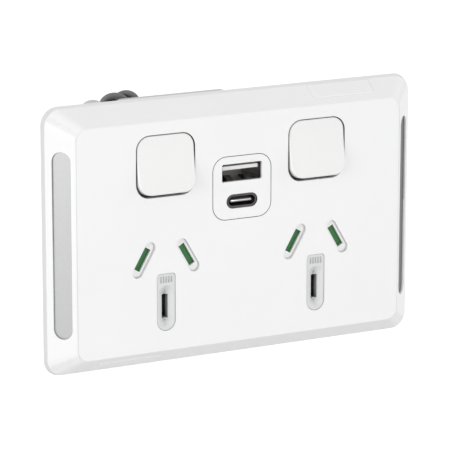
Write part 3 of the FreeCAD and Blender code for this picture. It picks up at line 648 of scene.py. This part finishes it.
def lead_line():
    """Points along the smooth curve that both leads wind about."""
    curve = bpy.data.curves.new("lead_route", "CURVE")
    curve.dimensions = "3D"
    curve.resolution_u = LEAD_STEPS
    spline = curve.splines.new("NURBS")
    spline.points.add(len(LEAD_ROUTE) - 1)
    for point, place in zip(spline.points, LEAD_ROUTE):
        point.co = (*(Vector(place) * MM), 1.0)
    spline.order_u = 3
    spline.use_endpoint_u = True
    holder = bpy.data.objects.new("lead_route", curve)
    mesh = bpy.data.meshes.new_from_object(holder)
    points = [vertex.co.copy() for vertex in mesh.vertices]
    bpy.data.objects.remove(holder)
    bpy.data.curves.remove(curve)
    bpy.data.meshes.remove(mesh)
    return points


def directions(points):
    """The way a line runs at each of its points."""
    found = []
    for number in range(len(points)):
        before = points[max(number - 1, 0)]
        after = points[min(number + 1, len(points) - 1)]
        found.append((after - before).normalized())
    return found


def steady_sides(tangents):
    """A direction square to the line at each point, carried along it without twist."""
    side = tangents[0].orthogonal().normalized()
    sides = [side]
    for one, two in zip(tangents, tangents[1:]):
        side = side.copy()
        side.rotate(one.rotation_difference(two))
        sides.append(side)
    return sides


def winding_line(points, sides, tangents, turn):
    """The middle of one strand, whose turns are counted from the top of the loop."""
    travelled = [0.0]
    for before, after in zip(points, points[1:]):
        travelled.append(travelled[-1] + (after - before).length)
    crest = max(range(len(points)), key=lambda number: points[number].z)
    upward = math.atan2(tangents[crest].cross(sides[crest]).z, sides[crest].z)
    centres = []
    for point, side, tangent, distance in zip(points, sides, tangents, travelled):
        wound = 2 * math.pi * (distance - travelled[crest]) / LEAD_PITCH
        angle = turn + upward + LEAD_PHASE + wound
        across = tangent.cross(side)
        centres.append(point + (side * math.cos(angle) + across * math.sin(angle)) * LEAD_SPREAD)
    return centres


def make_lead(node_name, turn):
    """One strand of the twisted pair: a round tube that winds about the shared line."""
    points = lead_line()
    tangents = directions(points)
    sides = steady_sides(tangents)
    centres = winding_line(points, sides, tangents, turn)

    def build(shape):
        rings = []
        for centre, side, along in zip(centres, sides, directions(centres)):
            one = (side - along * side.dot(along)).normalized()
            two = along.cross(one)
            ring = []
            for k in range(LEAD_SIDES):
                angle = 2 * math.pi * k / LEAD_SIDES
                out = one * math.cos(angle) + two * math.sin(angle)
                ring.append(shape.verts.new(centre + out * LEAD_RADIUS))
            rings.append(ring)
        join_rings(shape, rings)

    made = piece(node_name + "_twisted", build, "lead_grey")
    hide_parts(node_name)


def add_screw_head(shape, centre, sizes):
    """A domed screw head with a cross recess, facing back along Y."""
    levels = [(sizes["radius"], 0.0)]
    for number in range(sizes["steps"] + 1):
        angle = math.pi / 2 * number / sizes["steps"]
        ring_radius = sizes["radius"] * (sizes["flat"] + (1.0 - sizes["flat"]) * math.cos(angle))
        lift = sizes["height"] * (sizes["rim"] + (1.0 - sizes["rim"]) * math.sin(angle))
        levels.append((ring_radius, lift))
    loops = []
    for ring_radius, lift in levels:
        loop = []
        for k in range(sizes["sides"]):
            angle = 2 * math.pi * k / sizes["sides"]
            offset = Vector((ring_radius * math.cos(angle), lift, ring_radius * math.sin(angle)))
            loop.append(shape.verts.new(centre + offset))
        loops.append(loop)
    join_rings(shape, loops, ends=False)
    add_cross_recess(shape, centre, sizes, loops[-1])
    shape.faces.new(loops[0])


def add_cross_recess(shape, centre, sizes, rim):
    """A cross-shaped pit in the middle of the head, joined to the flat around it."""
    half, reach, height = sizes["half"], sizes["reach"], sizes["height"]
    corners = [(half, half), (half, reach), (-half, reach), (-half, half), (-reach, half), (-reach, -half),
               (-half, -half), (-half, -reach), (half, -reach), (half, -half), (reach, -half), (reach, half)]
    floor = height - sizes["depth"]
    mouth = [shape.verts.new(centre + Vector((x, height, z))) for x, z in corners]
    pit = [shape.verts.new(centre + Vector((x * sizes["taper"], floor, z * sizes["taper"])))
           for x, z in corners]
    join_rings(shape, [mouth, pit], ends=False)
    shape.faces.new(pit)
    edges = []
    for loop in (mouth, rim):
        for k in range(len(loop)):
            pair = (loop[k], loop[(k + 1) % len(loop)])
            edges.append(shape.edges.get(pair) or shape.edges.new(pair))
    bmesh.ops.triangle_fill(shape, use_beauty=True, edges=edges)


def make_boss_screws():
    """The four screws that hold the two housings together, seen from behind."""
    def build(shape):
        for across in (-1, 1):
            for upward in (-1, 1):
                place = Vector((across * BOSS_PLACE[0], BOSS_LEVEL, upward * BOSS_PLACE[1]))
                add_screw_head(shape, place, BOSS_SCREW)

    piece("housing_screws", build, "steel")


def bevel_point(end, x, along, lift):
    """A point on the top (1) or bottom (-1) bevel, measured along its slope from the rim."""
    rise = -FRONT_Y - RIM_WALL
    run = BEVEL_INSET - RIM_DRAFT
    slope = math.hypot(rise, run)
    y = -RIM_WALL - along * rise / slope - lift * run / slope
    z = HALF_HEIGHT - RIM_DRAFT - along * run / slope + lift * rise / slope
    return Vector((x, y, end * z))


def make_pad(name, end):
    """A bare raised pad on a bevel."""
    corners = [(end * PAD["near"][0], PAD["start"]), (end * PAD["far"][0], PAD["start"]),
               (end * PAD["far"][1], PAD["end"]), (end * PAD["near"][1], PAD["end"])]
    middle_x = end * (PAD["near"][0] + PAD["far"][0]) / 2
    middle_along = (PAD["start"] + PAD["end"]) / 2

    def build(shape):
        foot = [shape.verts.new(bevel_point(end, x, along, -PAD["sink"])) for x, along in corners]
        top = []
        for x, along in corners:
            inner_x = x + math.copysign(PAD["slant"], middle_x - x)
            inner_along = along + math.copysign(PAD["slant"], middle_along - along)
            top.append(shape.verts.new(bevel_point(end, inner_x, inner_along, PAD["lift"])))
        join_rings(shape, [foot, top], ends=False)
        shape.faces.new(top)

    piece(name, build, "cover_white")


set_camera()
set_world()
set_lamps()
set_floor()
materials = make_materials()
dress_frame()
for side, sign in SIDES.items():
    make_earth_ribs(side)
    make_coil(side, sign)
    make_leaf(side, sign)
make_a_pins()
make_a_springs()
make_c_pins()
make_c_plate()
make_lead("first_lead", 0.0)
make_lead("second_lead", math.pi)
make_boss_screws()
make_pad("top_pad", 1)
make_pad("bottom_pad", -1)

bpy.context.scene.view_settings.view_transform = "Standard"
